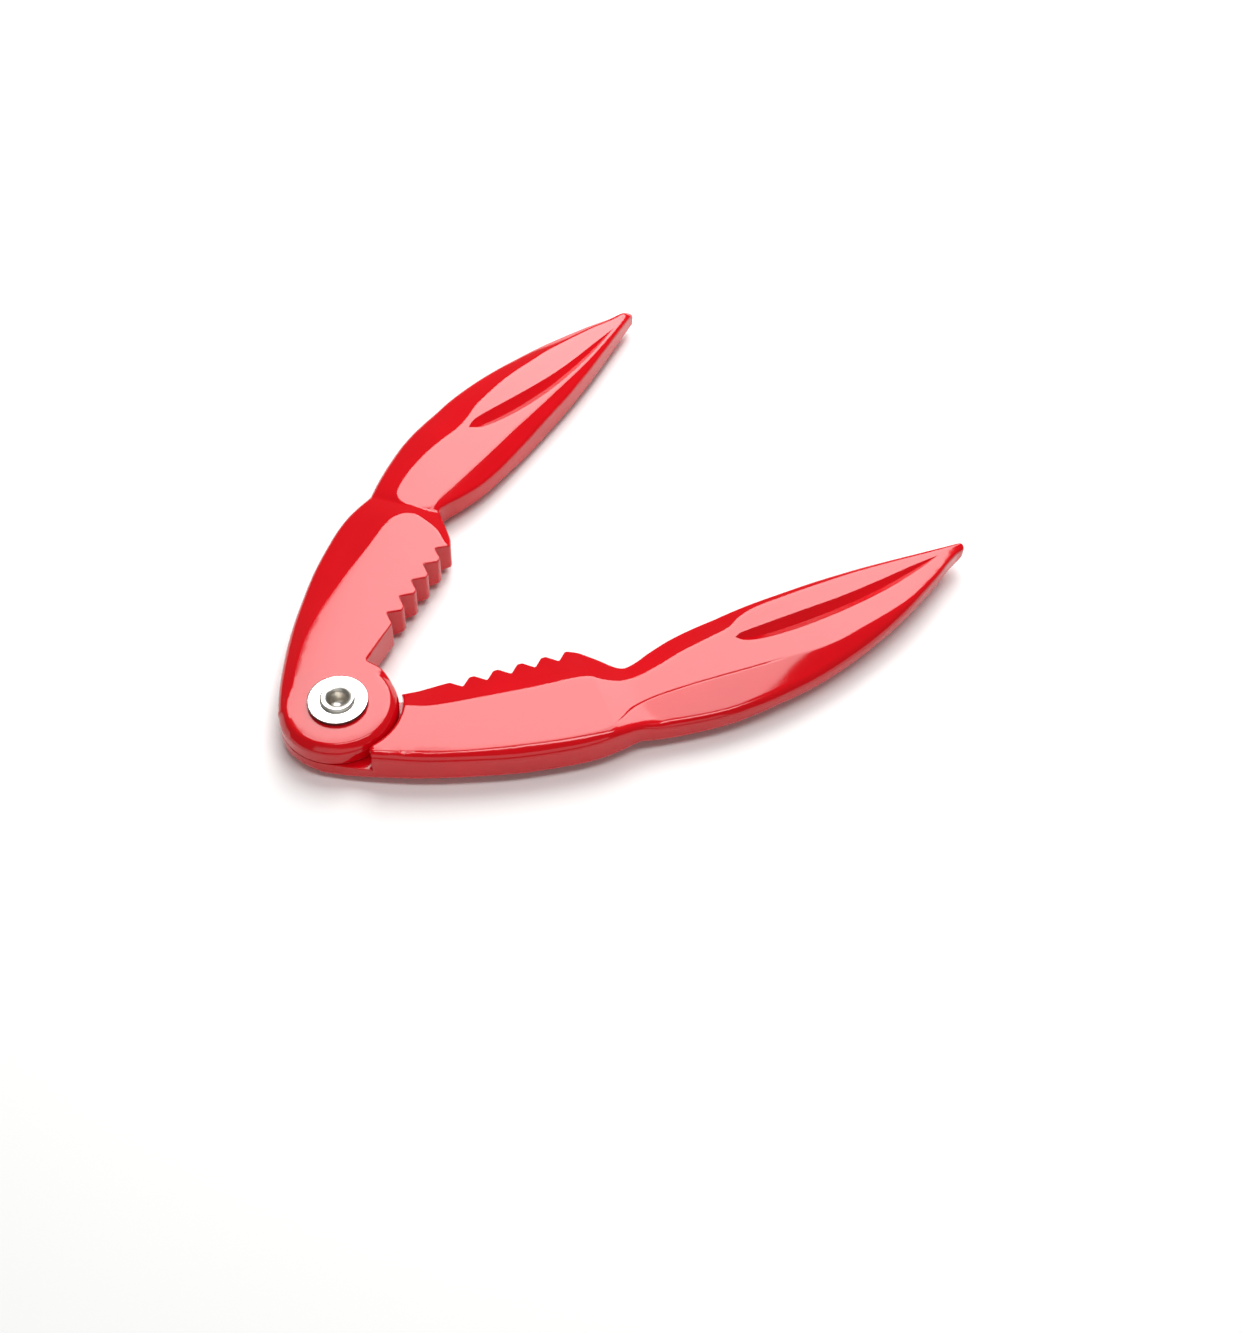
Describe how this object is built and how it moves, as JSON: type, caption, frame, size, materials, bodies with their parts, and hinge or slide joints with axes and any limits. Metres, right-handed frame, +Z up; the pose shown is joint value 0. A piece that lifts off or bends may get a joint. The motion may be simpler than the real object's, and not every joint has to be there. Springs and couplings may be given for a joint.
{
  "type": "lobster cracker",
  "caption": "Hand cracker for lobster and crab claws: two red claw-shaped cast arms with toothed jaws, hinged on a rivet with a bright washer.",
  "frame": {"origin": "on the pivot axis, at the level the cracker rests on, in the middle of the rivet's flush head", "axes": "+Z up along the pivot axis and out of the upper boss; +X to the right and +Y away from the user, with both arms pointing into the +X +Y quarter at rest"},
  "size_m": [0.1671, 0.1671, 0.0128],
  "materials": {
    "enamel": "gloss",
    "rivet_steel": "satin",
    "washer_steel": "polished"
  },
  "bodies": {
    "lower_body": {"lower_arm": "enamel", "pivot_rivet": "rivet_steel", "rivet_washer": "washer_steel"},
    "upper_body": {"upper_arm": "enamel"}
  },
  "joints": [
    {"name": "pivot", "type": "hinge", "parent": "lower_body", "child": "upper_body", "pos_m": [0, 0, 0.0054], "axis": [0, 0, 1], "range_deg": [-43.5, 136]}
  ]
}
